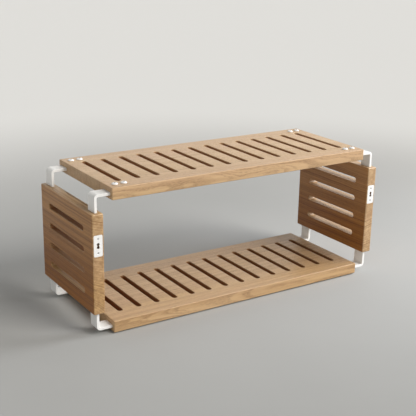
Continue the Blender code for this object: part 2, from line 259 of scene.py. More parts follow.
def stack(outline_at, profile):
    """Rings of an outline. Each pair in profile is how much the outline grows and how high it stands."""
    return [[(x, y, height) for x, y in outline_at(grow)] for grow, height in profile]


def prism(name, outline, low, high, matrix):
    """A straight solid on that outline, from low to high along Z, then moved by the matrix."""
    mesh = closed_mesh(name, [[(x, y, height) for x, y in outline] for height in (low, high)])
    mesh.transform(matrix)
    return add_object(name, mesh)


def turned(name, profile):
    """A solid turned round Z, from (radius, height) pairs. A radius may be a function of the angle."""
    rings = []
    for radius, height in profile:
        ring = []
        for step in range(ROUND_STEPS):
            degrees = 360 * step / ROUND_STEPS
            angle = math.radians(degrees)
            reach = radius(degrees) if callable(radius) else radius
            ring.append((reach * math.cos(angle), reach * math.sin(angle), height))
        rings.append(ring)
    return add_object(name, closed_mesh(name, rings))


def through_profile(half_thickness, rim):
    """Profile of a cutter that goes right through and rounds both of its rims."""
    flare = [(grow, half_thickness - depth) for grow, depth in eased_edge(rim)[1:]]
    first_grow, first_height = flare[0]
    slope = (rim - first_grow) / (half_thickness - first_height)
    top = half_thickness + rim / 4
    upper = [(first_grow + slope * (top - first_height), top), *flare]
    lower = [(grow, -height) for grow, height in upper]
    return lower + upper[::-1]


def carve(obj, cutters):
    """Cuts the cutters from the object in turn and removes them."""
    for cutter in cutters:
        boolean = obj.modifiers.new(cutter.name, "BOOLEAN")
        boolean.operation = "DIFFERENCE"
        boolean.solver = "EXACT"
        boolean.object = cutter
    graph = bpy.context.evaluated_depsgraph_get()
    carved = bpy.data.meshes.new_from_object(obj.evaluated_get(graph))
    obj.modifiers.clear()
    obj.data = carved
    for cutter in cutters:
        bpy.data.objects.remove(cutter, do_unlink=True)


def smooth(obj, angle=SMOOTH_ANGLE):
    """Shades rounded edges smooth and keeps large faces flat."""
    obj.data.shade_smooth()
    obj.data.set_sharp_from_angle(angle=math.radians(angle))
    weighted = obj.modifiers.new("even shading", "WEIGHTED_NORMAL")
    weighted.keep_sharp = True


def finish_piece(obj, material, node):
    """The object stands for one CAD node, in that material."""
    obj.data.materials.clear()
    obj.data.materials.append(material)
    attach(obj, "root")
    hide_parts(node)


# ---------------------------------------------------------------- materials


class Shade:
    """One node tree, built a node at a time. A value may be a number, a tuple or another node's output."""

    def __init__(self, owner, shader="Principled BSDF"):
        owner.use_nodes = True
        self.owner = owner
        self.tree = owner.node_tree
        self.surface = self.tree.nodes[shader].inputs

    def add(self, kind, **settings):
        node = self.tree.nodes.new(kind)
        for setting, value in settings.items():
            setattr(node, setting, value)
        return node

    def feed(self, socket, value):
        if isinstance(value, bpy.types.NodeSocket):
            self.tree.links.new(value, socket)
        else:
            socket.default_value = value

    def maths(self, operation, *values):
        node = self.add("ShaderNodeMath", operation=operation)
        for socket, value in zip(node.inputs, values):
            self.feed(socket, value)
        return node.outputs[0]

    def product(self, first, *others):
        for other in others:
            first = self.maths("MULTIPLY", first, other)
        return first

    def total(self, first, *others):
        for other in others:
            first = self.maths("ADD", first, other)
        return first

    def largest(self, first, *others):
        for other in others:
            first = self.maths("MAXIMUM", first, other)
        return first

    def hypotenuse(self, first, second):
        return self.maths("SQRT", self.total(self.product(first, first), self.product(second, second)))

    def vector(self, operation, *values):
        node = self.add("ShaderNodeVectorMath", operation=operation)
        for socket, value in zip(node.inputs, values):
            self.feed(socket, value)
        return node.outputs["Value" if operation == "DOT_PRODUCT" else "Vector"]

    def parts(self, vector):
        node = self.add("ShaderNodeSeparateXYZ")
        self.feed(node.inputs[0], vector)
        return node.outputs

    def span(self, value, low, high, to_low=0.0, to_high=1.0):
        """A smooth step from to_low where the value is low to to_high where it is high."""
        node = self.add("ShaderNodeMapRange", interpolation_type="SMOOTHSTEP")
        for socket, given in zip(node.inputs, (value, low, high, to_low, to_high)):
            self.feed(socket, given)
        return node.outputs[0]

    def noise(self, place, waves, detail, roughness, output="Fac"):
        """Noise with that many waves a metre along each axis."""
        node = self.add("ShaderNodeTexNoise")
        self.feed(node.inputs["Vector"], self.vector("MULTIPLY", place, waves))
        self.feed(node.inputs["Scale"], 1.0)
        self.feed(node.inputs["Detail"], detail)
        self.feed(node.inputs["Roughness"], roughness)
        return node.outputs[output]

    def line_noise(self, value, scale):
        """Noise that depends on one number."""
        node = self.add("ShaderNodeTexNoise", noise_dimensions="1D")
        self.feed(node.inputs["W"], value)
        self.feed(node.inputs["Scale"], scale)
        self.feed(node.inputs["Detail"], 2.0)
        return node.outputs["Fac"]

    def pattern(self, place, waves, detail, roughness, low, high):
        """Noise as a smooth step: 0 where it is low and 1 where it is high."""
        return self.span(self.noise(place, waves, detail, roughness), low, high)

    def mix(self, factor, first, second, blend="MIX"):
        node = self.add("ShaderNodeMix", data_type="RGBA", blend_type=blend)
        for index, value in ((0, factor), (6, first), (7, second)):
            if isinstance(value, tuple):
                value = (*value, 1.0)
            self.feed(node.inputs[index], value)
        return node.outputs[2]

    def cover(self, colour, layer, amount, mask):
        """The colour with that much of the layer over it where the mask is 1."""
        return self.mix(self.product(mask, amount), colour, layer)

    def bump(self, height, strength, distance):
        node = self.add("ShaderNodeBump")
        self.feed(node.inputs["Height"], height)
        self.feed(node.inputs["Strength"], strength)
        self.feed(node.inputs["Distance"], distance)
        self.feed(self.surface["Normal"], node.outputs[0])


def evenly(number):
    """The same number along all three axes."""
    return (number, number, number)


def with_grain(along, across):
    """One number along the grain, which is X, and another one across it."""
    return (along, across, across)


# Oak: its colours
OAK_PALE = (0.532, 0.362, 0.196)
OAK_ROSY = (0.520, 0.334, 0.192)
OAK_HONEY = (0.505, 0.306, 0.112)
OAK_RING = (0.280, 0.152, 0.060)
OAK_PORE = (0.090, 0.040, 0.016)
# Painted shade for the walls of the slots
SLOT_SHADE_COLOUR = (0.230, 0.078, 0.018)
# Painted shade on the side boards' broad faces, partly the wood's richer tone: lighter at the top, darker
# at the foot
TONE_AND_SHADE_TOP = (0.900, 0.680, 0.390)
TONE_AND_SHADE_FOOT = (0.680, 0.400, 0.100)

# Oak: its patterns, and how strongly each one colours the wood
PORE_NOISE = dict(waves=with_grain(80.0, 2300.0), detail=2.0, roughness=0.6)
FIBRES = dict(waves=with_grain(6.0, 420.0), detail=3.0, roughness=0.55, low=0.32, high=0.68)
STREAKS = dict(waves=with_grain(1.3, 85.0), detail=3.0, roughness=0.6, low=0.36, high=0.66)
PATCHES = dict(waves=with_grain(1.4, 9.0), detail=2.0, roughness=0.5, low=0.30, high=0.70)
BLUSHES = dict(waves=with_grain(1.0, 16.0), detail=1.0, roughness=0.5, low=0.35, high=0.75)
OAK_RUBS = dict(waves=with_grain(22.0, 60.0), detail=3.0, roughness=0.6, low=0.35, high=0.70)
PORE_AMOUNT = 0.65
FIBRE_AMOUNT = 0.20
STREAK_AMOUNT = 0.60
BLUSH_AMOUNT = 0.80
RING_AMOUNT = 0.85
END_RING_AMOUNT = 0.45
OAK_RUB_AMOUNT = 0.30

# Oak: how far the grain bends sideways, in long waves and in short ones. The noise strays by about a
# quarter from its middle, and NOISE_SPREAD times that is about 1.
LONG_BENDS = dict(waves=with_grain(2.6, 5.0), reach=0.0065)
SHORT_BENDS = dict(waves=with_grain(18.0, 70.0), reach=0.0004)
NOISE_SPREAD = 4
BEND_DETAIL = 2.0
BEND_ROUGHNESS = 0.5

# Oak: growth rings. A season runs from 0 to 1, and early wood is at its start. Some years are stronger.
RING_DRIFT_WAVES = 60.0
RING_DRIFT_YEARS = 6.0
EARLY_WOOD_START = dict(low=0.0, high=0.10)
EARLY_WOOD_END = dict(low=0.18, high=0.75, to_low=1.0, to_high=0.0)
YEAR_SCALE = 0.47
YEAR_STRENGTH = dict(low=0.40, high=0.60, to_low=0.20, to_high=1.0)
PORE_THRESHOLD = dict(low=0.0, high=1.0, to_low=0.64, to_high=0.52)
PORE_EDGE = dict(low=0.0, high=0.08)

# Oak: where faces and places fade into each other, by the normal, the place along the board or the depth
END_GRAIN = dict(low=0.6, high=0.95)
BROAD_FACE = dict(low=0.55, high=0.98)
OAK_EDGE = dict(low=0.99, high=0.80)
TOP_TO_FOOT = dict(low=-0.14, high=0.14)
FIRST_TO_LAST_SLOT = dict(low=-0.03, high=0.10)
# How deep into a slot its painted shade fades in
SLOT_SHADE_DEPTH = dict(low=0.0, high=0.006)

# Oak: its surface
OAK_ROUGHNESS = 0.39
GRAIN_ROUGHNESS = 0.08
# Extra roughness where the slots' walls get painted shade
SLOT_SHADE_ROUGHNESS = 0.50
RUB_SMOOTHNESS = 0.06
OAK_SPECULAR = 0.55
FIBRE_RELIEF = 0.25
RING_RELIEF = 0.25
OAK_BUMP = dict(strength=0.35, distance=0.00020)


def growth_rings(shade, tree_place, ring_width):
    """Early wood, and the same with some years stronger than others, round the tree's middle along X."""
    bent = tree_place
    for bends in (LONG_BENDS, SHORT_BENDS):
        drift = shade.noise(tree_place, bends["waves"], BEND_DETAIL, BEND_ROUGHNESS, "Color")
        centred = shade.vector("SUBTRACT", drift, evenly(0.5))
        sideways = NOISE_SPREAD * bends["reach"]
        bent = shade.vector("ADD", bent, shade.vector("MULTIPLY", centred, (0.0, sideways, sideways)))
    _, bent_y, bent_z = shade.parts(bent)
    from_pith = shade.hypotenuse(bent_y, bent_z)
    drift = shade.line_noise(shade.product(from_pith, RING_DRIFT_WAVES), 1.0)
    years = shade.maths("DIVIDE", from_pith, ring_width)
    years = shade.total(years, shade.product(drift, RING_DRIFT_YEARS))
    season = shade.maths("FRACT", years)
    early_wood = shade.product(shade.span(season, **EARLY_WOOD_START), shade.span(season, **EARLY_WOOD_END))
    strength = shade.span(shade.line_noise(shade.maths("FLOOR", years), YEAR_SCALE), **YEAR_STRENGTH)
    return early_wood, shade.product(early_wood, strength)


def oak(name, slot_zone, turn, pith, ring_width, figure, honey, slot_shade, tone_and_shade):
    """Solid oak, cut by whatever face shows: growth rings round a distant pith, pores, fibres and streaks.

    turn brings the board's grain to X, and pith is then where the board lies from the tree's middle.
    figure is how strongly the grain shows, and honey how yellow its patches are.
    slot_shade is how strongly painted shade darkens the slots' walls towards the board's -X and +X ends.
    tone_and_shade is how rich its two broad faces are, the one at -Z first: partly the wood's own tone and
    partly painted warm shade.
    slot_zone is half the size, along X and along Y, of the part of the board that holds its slots.
    """
    shade = Shade(bpy.data.materials.new(name))
    coordinates = shade.add("ShaderNodeTexCoord").outputs
    place = coordinates["Object"]
    normal = coordinates["Normal"]
    mapping = shade.add("ShaderNodeMapping")
    shade.feed(mapping.inputs["Vector"], place)
    shade.feed(mapping.inputs["Rotation"], turn)
    shade.feed(mapping.inputs["Location"], pith)
    tree_place = mapping.outputs[0]
    early_wood, rings = growth_rings(shade, tree_place, ring_width)
    grain = Euler(turn).to_matrix().inverted() @ Vector((1, 0, 0))
    along_grain = shade.maths("ABSOLUTE", shade.vector("DOT_PRODUCT", normal, tuple(grain)))
    end_grain = shade.span(along_grain, **END_GRAIN)

    # Pores are short dark lines, most of them in the early wood. Fibres are longer and fainter.
    pore_noise = shade.noise(tree_place, **PORE_NOISE)
    pore_threshold = shade.span(early_wood, **PORE_THRESHOLD)
    pores = shade.span(shade.maths("SUBTRACT", pore_noise, pore_threshold), **PORE_EDGE)
    fibres = shade.pattern(tree_place, **FIBRES)
    ring_tone = shade.product(rings, RING_AMOUNT * figure)
    ring_tone = shade.largest(ring_tone, shade.product(early_wood, end_grain, END_RING_AMOUNT))
    colour = shade.cover(OAK_PALE, OAK_ROSY, BLUSH_AMOUNT, shade.pattern(tree_place, **BLUSHES))
    colour = shade.cover(colour, OAK_HONEY, honey, shade.pattern(tree_place, **PATCHES))
    colour = shade.cover(colour, OAK_RING, STREAK_AMOUNT * figure, shade.pattern(tree_place, **STREAKS))
    colour = shade.mix(ring_tone, colour, OAK_RING)
    colour = shade.cover(colour, OAK_RING, FIBRE_AMOUNT, fibres)
    colour = shade.cover(colour, OAK_PORE, PORE_AMOUNT, pores)

    # The broad faces can be richer than the edges: partly the wood's own tone, partly painted warm shade
    # that darkens towards the board's foot. Long edges are rubbed a little paler.
    normal_x, normal_y, normal_z = shade.parts(shade.vector("ABSOLUTE", normal))
    richness_and_shade = shade.span(shade.parts(normal)[2], -1.0, 1.0, *tone_and_shade)
    broad = shade.product(shade.span(normal_z, **BROAD_FACE), richness_and_shade)
    along_board = shade.parts(place)[0]
    tone_and_shade_colour = shade.mix(shade.span(along_board, **TOP_TO_FOOT), TONE_AND_SHADE_TOP, TONE_AND_SHADE_FOOT)
    colour = shade.mix(broad, colour, tone_and_shade_colour, "MULTIPLY")
    edge = shade.span(shade.largest(normal_x, normal_y, normal_z), **OAK_EDGE)
    rub = shade.product(edge, shade.pattern(tree_place, **OAK_RUBS))
    colour = shade.cover(colour, OAK_PALE, OAK_RUB_AMOUNT, rub)

    # The walls of the slots get painted shade, darker with depth, and a rougher surface there.
    place_x, place_y, place_z = shade.parts(shade.vector("ABSOLUTE", place))
    zone_x, zone_y = slot_zone
    inside = shade.maths("LESS_THAN", place_x, zone_x)
    inside = shade.product(inside, shade.maths("LESS_THAN", place_y, zone_y))
    below_face = shade.maths("SUBTRACT", BOARD_THICKNESS / 2, place_z)
    first_shade, last_shade = slot_shade
    shade_here = shade.span(along_board, **FIRST_TO_LAST_SLOT, to_low=first_shade, to_high=last_shade)
    painted_slot_shade = shade.product(inside, shade.span(below_face, **SLOT_SHADE_DEPTH), shade_here)
    shade.feed(shade.surface["Base Color"], shade.mix(painted_slot_shade, colour, SLOT_SHADE_COLOUR))

    grain_roughness = shade.product(shade.total(fibres, pores), GRAIN_ROUGHNESS)
    roughness = shade.total(OAK_ROUGHNESS, grain_roughness, shade.product(painted_slot_shade, SLOT_SHADE_ROUGHNESS))
    roughness = shade.maths("SUBTRACT", roughness, shade.product(rub, RUB_SMOOTHNESS))
    shade.feed(shade.surface["Roughness"], roughness)
    shade.surface["Specular IOR Level"].default_value = OAK_SPECULAR
    ring_relief = shade.product(rings, RING_RELIEF)
    relief = shade.maths("SUBTRACT", shade.product(fibres, FIBRE_RELIEF), ring_relief)
    shade.bump(shade.maths("SUBTRACT", relief, pores), **OAK_BUMP)
    return shade.owner


# Powder coat
COAT_COLOUR = (0.800, 0.795, 0.775)
COAT_WORN = (0.690, 0.680, 0.655)
COAT_ROUGHNESS = 0.42
PLATE_COLOUR = (0.785, 0.780, 0.765)
PLATE_WORN = (0.700, 0.695, 0.680)
PLATE_ROUGHNESS = 0.36
COAT_CLOUDS = dict(waves=evenly(26.0), detail=3.0, roughness=0.55, low=0.30, high=0.70)
COAT_RUBS = dict(waves=evenly(140.0), detail=3.0, roughness=0.6, low=0.45, high=0.75)
COAT_EDGE = dict(low=0.99, high=0.75)
COAT_CLOUD_AMOUNT = 0.22
COAT_RUB_AMOUNT = 0.30
COAT_CLOUD_ROUGHNESS = 0.07
COAT_PEEL = dict(waves=evenly(900.0), detail=2.0, roughness=0.5)
COAT_SPECKS = dict(waves=evenly(3200.0), detail=1.0, roughness=0.5)
COAT_SPECK_RELIEF = 0.3
COAT_BUMP = dict(strength=0.30, distance=0.00025)


def powder_coat(name, colour, worn_colour, roughness):
    """Baked powder: a fine orange peel, a slight unevenness of tone and edges rubbed a shade duller."""
    shade = Shade(bpy.data.materials.new(name))
    coordinates = shade.add("ShaderNodeTexCoord").outputs
    place = coordinates["Object"]
    clouds = shade.pattern(place, **COAT_CLOUDS)
    normals = shade.parts(shade.vector("ABSOLUTE", coordinates["Normal"]))
    edge = shade.span(shade.largest(*normals), **COAT_EDGE)
    rub = shade.product(edge, shade.pattern(place, **COAT_RUBS))
    wear = shade.total(shade.product(clouds, COAT_CLOUD_AMOUNT), shade.product(rub, COAT_RUB_AMOUNT))
    shade.feed(shade.surface["Base Color"], shade.mix(wear, colour, worn_colour))
    uneven = shade.total(roughness, shade.product(clouds, COAT_CLOUD_ROUGHNESS))
    shade.feed(shade.surface["Roughness"], uneven)
    specks = shade.product(shade.noise(place, **COAT_SPECKS), COAT_SPECK_RELIEF)
    shade.bump(shade.total(shade.noise(place, **COAT_PEEL), specks), **COAT_BUMP)
    return shade.owner


# Enamelled fasteners. The lathe's rings turn by that many radians a metre.
ENAMEL_WHITE = (0.745, 0.740, 0.725)
# Painted shade down in the drive of a bolt or screw
DRIVE_SHADE_COLOUR = (0.085, 0.080, 0.075)
ENAMEL_ROUGHNESS = 0.30
ENAMEL_SPOTS = dict(waves=evenly(700.0), detail=3.0, roughness=0.6, low=0.55, high=0.80)
LATHE_RING_TURN = 16000.0
LATHE_RING_RELIEF = 0.15
BOLT_DRIVE_TOP = HEAD_HEIGHT - 0.0002
SCREW_DRIVE_TOP = -0.0001
DRIVE_FADE = 0.0005
SPOT_AMOUNT = 0.18
DRIVE_AMOUNT = 0.92
SPOT_ROUGHNESS = 0.15
ENAMEL_BUMP = dict(strength=0.20, distance=0.00008)


def painted_fastener(name, drive_reach, drive_top):
    """White enamel on a turned steel head: faint rings from the lathe, and painted shade, near black, down
    in the drive.
    """
    shade = Shade(bpy.data.materials.new(name))
    place = shade.add("ShaderNodeTexCoord").outputs["Object"]
    place_x, place_y, place_z = shade.parts(place)
    reach = shade.hypotenuse(place_x, place_y)
    rings = shade.maths("SINE", shade.product(reach, LATHE_RING_TURN))
    spots = shade.pattern(place, **ENAMEL_SPOTS)
    in_drive = shade.maths("LESS_THAN", reach, drive_reach)
    drive = shade.product(in_drive, shade.span(place_z, drive_top, drive_top - DRIVE_FADE))
    # The drive's painted shade, and the enamel's worn spots
    wear = shade.largest(shade.product(spots, SPOT_AMOUNT), shade.product(drive, DRIVE_AMOUNT))
    shade.feed(shade.surface["Base Color"], shade.mix(wear, ENAMEL_WHITE, DRIVE_SHADE_COLOUR))
    uneven = shade.total(ENAMEL_ROUGHNESS, shade.product(spots, SPOT_ROUGHNESS))
    shade.feed(shade.surface["Roughness"], uneven)
    shade.bump(shade.total(shade.product(rings, LATHE_RING_RELIEF), spots), **ENAMEL_BUMP)
    return shade.owner


# Nylon glides
NYLON_DARK = (0.105, 0.095, 0.085)
NYLON_LIGHT = (0.150, 0.138, 0.122)
NYLON_SCUFFED = (0.260, 0.245, 0.225)
NYLON_CLOUDS = dict(waves=evenly(120.0), detail=3.0, roughness=0.6, low=0.3, high=0.7)
NYLON_SCUFFS = dict(waves=(300.0, 2400.0, 300.0), detail=2.0, roughness=0.6, low=0.52, high=0.72)
SCUFF_AMOUNT = 0.35
NYLON_ROUGHNESS = 0.42
SCUFF_ROUGHNESS = 0.25
NYLON_BUMP = dict(strength=0.25, distance=0.00008)


def nylon(name):
    """Slightly cloudy moulded nylon, scuffed."""
    shade = Shade(bpy.data.materials.new(name))
    place = shade.add("ShaderNodeTexCoord").outputs["Object"]
    scuffs = shade.pattern(place, **NYLON_SCUFFS)
    colour = shade.mix(shade.pattern(place, **NYLON_CLOUDS), NYLON_DARK, NYLON_LIGHT)
    colour = shade.cover(colour, NYLON_SCUFFED, SCUFF_AMOUNT, scuffs)
    shade.feed(shade.surface["Base Color"], colour)
    roughness = shade.total(NYLON_ROUGHNESS, shade.product(scuffs, SCUFF_ROUGHNESS))
    shade.feed(shade.surface["Roughness"], roughness)
    shade.bump(scuffs, **NYLON_BUMP)
    return shade.owner


# Floor
FLOOR_HALF_SIZE = 60.0
FLOOR_SQUARES = 8
FLOOR_DARK = (0.340, 0.340, 0.329)
FLOOR_LIGHT = (0.370, 0.370, 0.359)
FLOOR_FAR = (0.800, 0.800, 0.785)
FLOOR_FADE = dict(low=0.8, high=2.8)
FLOOR_CLOUDS = dict(waves=evenly(2.2), detail=4.0, roughness=0.55)
FLOOR_ROUGHNESS = 0.80


def floor_finish(name):
    """Plain pale floor with a very faint unevenness, paler far from the bench."""
    shade = Shade(bpy.data.materials.new(name))
    place = shade.add("ShaderNodeTexCoord").outputs["Object"]
    place_x, place_y, _ = shade.parts(place)
    far = shade.span(shade.hypotenuse(place_x, place_y), **FLOOR_FADE)
    near = shade.mix(shade.noise(place, **FLOOR_CLOUDS), FLOOR_DARK, FLOOR_LIGHT)
    shade.feed(shade.surface["Base Color"], shade.mix(far, near, FLOOR_FAR))
    shade.surface["Roughness"].default_value = FLOOR_ROUGHNESS
    return shade.owner


# ---------------------------------------------------------------- boards


def rounded_block(name, length, depth, thickness, rounding):
    """A board with rounded edges round its own origin: length along X, depth along Y, thickness along Z."""
    work = bmesh.new()
    bmesh.ops.create_cube(work, size=1.0, matrix=Matrix.Diagonal((length, depth, thickness, 1.0)))
    bmesh.ops.bevel(
        work, geom=list(work.edges), offset=rounding, offset_type="OFFSET",
        segments=BOARD_ROUNDING_STEPS, profile=0.5, affect="EDGES",
    )
    return add_object(name, mesh_from(work, name))


def slot_cutters(count, thickness):
    """A row of slots along the board's X, each running across it, with rounded rims."""
    single = closed_mesh("slot", stack(slot_outline, through_profile(thickness / 2, SLOT_RIM)))
    row = bmesh.new()
    for index in range(count):
        before = len(row.verts)
        row.from_mesh(single)
        row.verts.ensure_lookup_table()
        along = (index - (count - 1) / 2) * SLOT_PITCH
        move = Matrix.Translation((along, 0, 0)) @ Matrix.Rotation(math.radians(90), 4, "Z")
        bmesh.ops.transform(row, matrix=move, verts=row.verts[before:])
    bpy.data.meshes.remove(single)
    return [add_object("slots", mesh_from(row, "slots"))]


def slot_zone(length):
    """Half the size, along X and along Y, of the part of a board that holds its slots."""
    return length / 2 - SLOT_ZONE_INSET, SLOT_LENGTH / 2 + SLOT_ZONE_MARGIN


def mortise_cutters(length, reach, drop):
    """Holes for four straps, in the ends of a board, drop below the middle of its thickness."""
    outline = rounded_rectangle(STRAP_THICKNESS + 2 * GAP, STRAP_WIDTH + 2 * GAP, STRAP_EDGE + GAP)
    cutters = []
    for x_sign in ENDS.values():
        for y_sign in FACES.values():
            along = Matrix.Rotation(math.radians(90 * x_sign), 4, "Y")
            move = Matrix.Translation((x_sign * length / 2, y_sign * STRAP_OFFSET, -drop)) @ along
            cutters.append(prism("mortise", outline, -reach - GAP, OVERCUT, move))
    return cutters


def round_cutter(name, radius, low, high, x, y):
    """An upright round cutter at that place."""
    return prism(name, circle(radius, ROUND_STEPS), low, high, Matrix.Translation((x, y, 0)))


def bolt_hole_cutters(bolt_nodes, middle, facing):
    """Holes under the bolts, and counterbores too where the heads lie below the board's face."""
    cutters = []
    face = facing * (BOARD_THICKNESS / 2 + OVERCUT)
    for bolt_node in bolt_nodes:
        low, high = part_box(bolt_node)
        centre = (low + high) / 2
        tip = (low.z if facing > 0 else high.z) - middle - facing * GAP
        cutters.append(round_cutter("hole", SHANK_RADIUS + GAP, *sorted((tip, face)), centre.x, centre.y))
        if facing < 0:
            seat = -BOARD_THICKNESS / 2 + COUNTERBORE_DEPTH
            radius = HEAD_RADIUS + COUNTERBORE_MARGIN
            cutters.append(round_cutter("counterbore", radius, *sorted((seat, face)), centre.x, centre.y))
    return cutters


def plate_cutters(side, middle_z):
    """The recess, pocket and screw holes behind a keyhole plate, in the board's own frame."""
    low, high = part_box(f"{side}_keyhole_plate")
    width, depth, height = high - low
    rise = (low.z + high.z) / 2 - middle_z
    face = Matrix.Translation((-rise, -BOARD_DEPTH / 2, 0)) @ Matrix.Rotation(math.radians(90), 4, "X")
    recess_depth = depth + 2 * GAP
    recess = rounded_rectangle(height + 2 * GAP, width + 2 * GAP, PLATE_CORNER + GAP)
    pocket = rounded_rectangle(POCKET_HEIGHT, POCKET_WIDTH, POCKET_WIDTH / 2 - GAP)
    cutters = [
        prism("recess", recess, -recess_depth, OVERCUT, face),
        prism("pocket", pocket, -recess_depth - POCKET_DEPTH, OVERCUT, face),
    ]
    for label in SCREW_LABELS:
        screw_low, screw_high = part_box(f"{side}_keyhole_plate_screw_{label}")
        screw_rise = (screw_low.z + screw_high.z) / 2 - middle_z
        screw_depth = screw_high.y - screw_low.y + GAP
        outline = circle(SCREW_RADIUS + GAP, SCREW_HOLE_STEPS)
        place = Matrix.Translation((rise - screw_rise, 0, 0))
        cutters.append(prism("screw_hole", outline, -screw_depth - 2 * GAP, OVERCUT, face @ place))
    return cutters


def level_board(name, facing):
    """The seat or the shelf. Bolts go in from above where facing is 1, and from below where it is -1."""
    node = f"{name}_board"
    low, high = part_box(node)
    middle = (low.z + high.z) / 2
    length = high.x - low.x
    thickness = high.z - low.z
    obj = rounded_block(f"{node}_oak", length, high.y - low.y, thickness, LEVEL_BOARD_ROUNDING)
    bolt_nodes = [bolt_node for bolt_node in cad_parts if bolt_node.startswith(f"{name}_bolt_")]
    cutters = slot_cutters(LEVEL_SLOT_COUNT, thickness)
    cutters += mortise_cutters(length, TONGUE_REACH, STRAP_DROP)
    cutters += bolt_hole_cutters(bolt_nodes, middle, facing)
    carve(obj, cutters)
    smooth(obj)
    obj.matrix_world = Matrix.Translation((0, 0, middle))
    material = oak(f"{name}_oak", slot_zone(length), **BOARD_WOOD[name])
    finish_piece(obj, material, node)


def side_board(side):
    """A board on edge. Its own X points down, and its own Z to the right."""
    node = f"{side}_side_board"
    low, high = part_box(node)
    middle = (low + high) / 2
    height = high.z - low.z
    thickness = high.x - low.x
    obj = rounded_block(f"{node}_oak", height, high.y - low.y, thickness, SIDE_BOARD_ROUNDING)
    cutters = slot_cutters(SIDE_SLOT_COUNT, thickness)
    cutters += mortise_cutters(height, LEG_REACH, 0.0)
    cutters += plate_cutters(side, middle.z)
    carve(obj, cutters)
    smooth(obj)
    obj.matrix_world = Matrix.Translation(middle) @ Matrix.Rotation(math.radians(90), 4, "Y")
    material = oak(f"{side}_side_oak", slot_zone(height), **BOARD_WOOD[side])
    finish_piece(obj, material, node)


# ---------------------------------------------------------------- straps, bolts, plates, glides


def strap(node, x_sign, z_sign, material):
    """A bent strap: z_sign is 1 where the leg hangs from the tongue, and -1 where it stands on it."""
    low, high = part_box(node)
    corner_x = low.x if x_sign < 0 else high.x
    corner_z = high.z if z_sign > 0 else low.z
    tongue = high.x - low.x
    leg = high.z - low.z
    edge = eased_edge(STRAP_EDGE)
    sides = [(inset, low.y + depth) for inset, depth in edge]
    sides += [(inset, high.y - depth) for inset, depth in reversed(edge)]
    rings = []
    for inset, y in sides:
        outline = strap_outline(tongue, leg, inset)
        rings.append([(corner_x - x_sign * x, y, corner_z + z_sign * z) for x, z in outline])
    obj = add_object(f"{node}_steel", closed_mesh(node, rings))
    plane = corner_z - z_sign * STRAP_THICKNESS / 2
    holes = []
    for label in BOLT_LABELS:
        bolt_low, bolt_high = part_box(node.replace("strap", "bolt") + f"_{label}")
        centre = (bolt_low + bolt_high) / 2
        holes.append(round_cutter("hole", SHANK_RADIUS + GAP, plane - STRAP_THICKNESS,
                                  plane + STRAP_THICKNESS, centre.x, centre.y))
    carve(obj, holes)
    smooth(obj, WIDE_SMOOTH_ANGLE)
    finish_piece(obj, material, node)


def hexagon_radius(degrees):
    """How far a bolt's six-sided socket reaches from its middle in that direction."""
    from_flat = math.radians((degrees % 60) - 30)
    return SOCKET_RADIUS * math.cos(math.radians(30)) / math.cos(from_flat)


def bolt(node, facing, material):
    """A dome-headed bolt with a six-sided socket. Its origin is under the middle of its head."""
    low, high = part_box(node)
    shank = high.z - low.z - HEAD_HEIGHT
    under_head = high.z - HEAD_HEIGHT if facing > 0 else low.z + HEAD_HEIGHT
    rise = HEAD_HEIGHT - HEAD_LIP
    mouth_angle = math.acos(SOCKET_MOUTH / HEAD_RADIUS)
    dome = []
    for step in range(DOME_STEPS + 1):
        angle = mouth_angle * step / DOME_STEPS
        height = HEAD_LIP + rise * math.sin(angle) / math.sin(mouth_angle)
        dome.append((HEAD_RADIUS * math.cos(angle), height))
    profile = [
        (SHANK_TIP_RADIUS, -shank),
        (SHANK_RADIUS, -shank + SHANK_TIP_LENGTH),
        (SHANK_RADIUS, 0.0),
        (HEAD_RADIUS - HEAD_LIP / 2, 0.0),
        (HEAD_RADIUS, HEAD_LIP / 2),
        *dome,
        (SOCKET_MOUTH - SOCKET_MOUTH_INSET, HEAD_HEIGHT - SOCKET_MOUTH_DEPTH),
        (hexagon_radius, HEAD_HEIGHT - SOCKET_FUNNEL_DEPTH),
        (hexagon_radius, HEAD_HEIGHT - SOCKET_DEPTH),
        (SOCKET_TIP_RADIUS, HEAD_HEIGHT - SOCKET_DEPTH - SOCKET_TIP_DEPTH),
    ]
    obj = turned(f"{node}_white", profile)
    smooth(obj, WIDE_SMOOTH_ANGLE)
    centre = (low + high) / 2
    turn = Matrix.Rotation(math.radians(0 if facing > 0 else 180), 4, "X")
    obj.matrix_world = Matrix.Translation((centre.x, centre.y, under_head)) @ turn
    finish_piece(obj, material, node)


def plate_screw(node, material):
    """A countersunk screw with a cross recess, its head facing the front."""
    low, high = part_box(node)
    length = high.y - low.y
    profile = [
        (SCREW_TIP_RADIUS, -length),
        (SCREW_RADIUS, -length + SCREW_TIP_LENGTH),
        (SCREW_RADIUS, -SCREW_HEAD_DEPTH),
        (SCREW_HEAD_RADIUS, -SCREW_HEAD_LIP),
        (SCREW_HEAD_RADIUS - SCREW_HEAD_EASE, 0.0),
    ]
    obj = turned(f"{node}_white", profile)
    recess = stack(cross_outline, [(-CROSS_TAPER, -CROSS_DEPTH), (0.0, CROSS_OVERCUT)])
    carve(obj, [add_object("cross", closed_mesh("cross", recess))])
    smooth(obj)
    centre = (low + high) / 2
    turn = Matrix.Rotation(math.radians(90), 4, "X")
    obj.matrix_world = Matrix.Translation((centre.x, low.y, centre.z)) @ turn
    finish_piece(obj, material, node)


